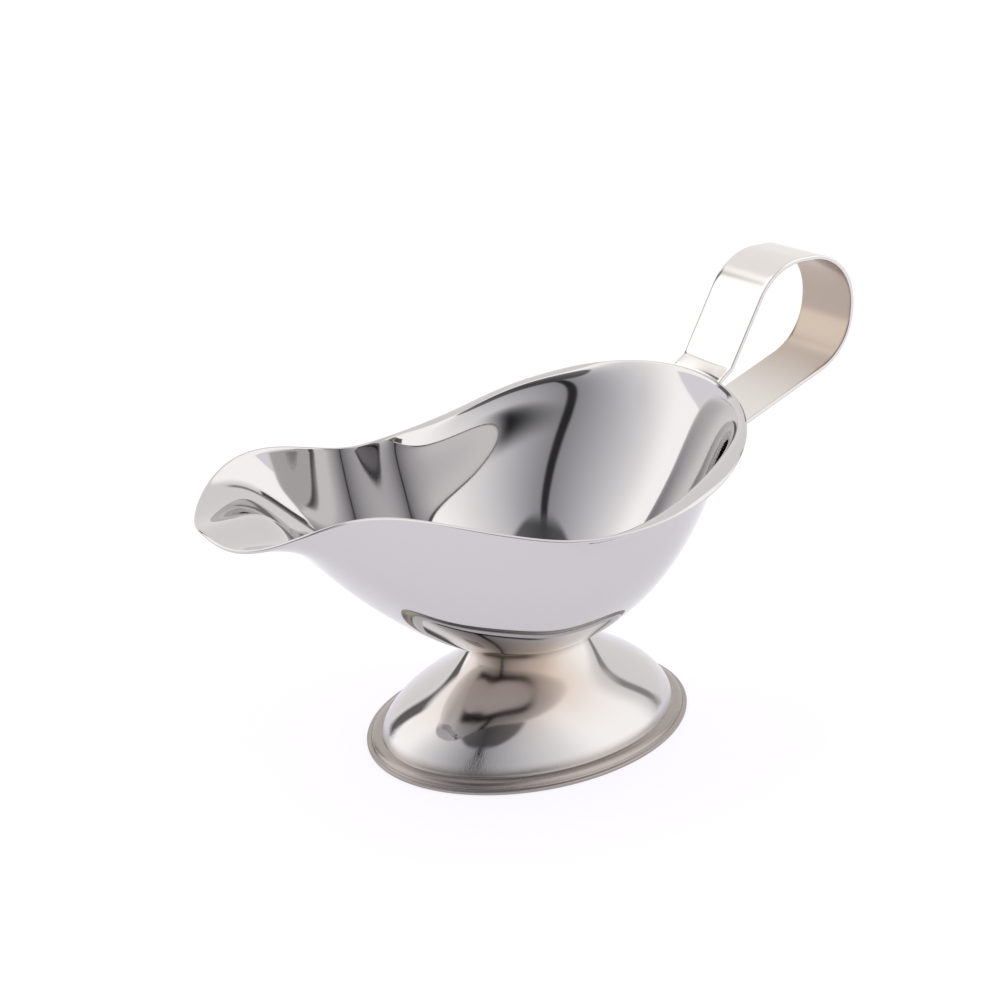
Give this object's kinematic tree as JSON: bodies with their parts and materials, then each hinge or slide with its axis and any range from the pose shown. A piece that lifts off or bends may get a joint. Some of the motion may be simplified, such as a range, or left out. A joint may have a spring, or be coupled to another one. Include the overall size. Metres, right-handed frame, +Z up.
{
  "type": "gravy boat",
  "caption": "Pedestal gravy boat in polished sheet steel: a pear-shaped bowl with a wide pouring spout, an oval hollow foot and an upright strap loop handle.",
  "frame": {"origin": "middle of the foot, on the plane that it stands on", "axes": "+X from the spout towards the handle, +Y across the boat, +Z up"},
  "size_m": [0.191, 0.0972, 0.1185],
  "materials": {
    "polished_steel": "mirror-polished stainless steel",
    "polished_steel_foot": "mirror-polished stainless steel, finely brushed round the shoulder",
    "satin_steel_strap": "polished outside, satin inside the loop",
    "weld_metal": "spot weld nuggets between the sheets"
  },
  "bodies": {
    "root": {"bowl": "polished_steel", "foot": "polished_steel_foot", "handle": "satin_steel_strap", "foot_spot_welds": "weld_metal", "handle_upper_spot_welds": "weld_metal", "handle_lower_spot_welds": "weld_metal"}
  },
  "joints": []
}
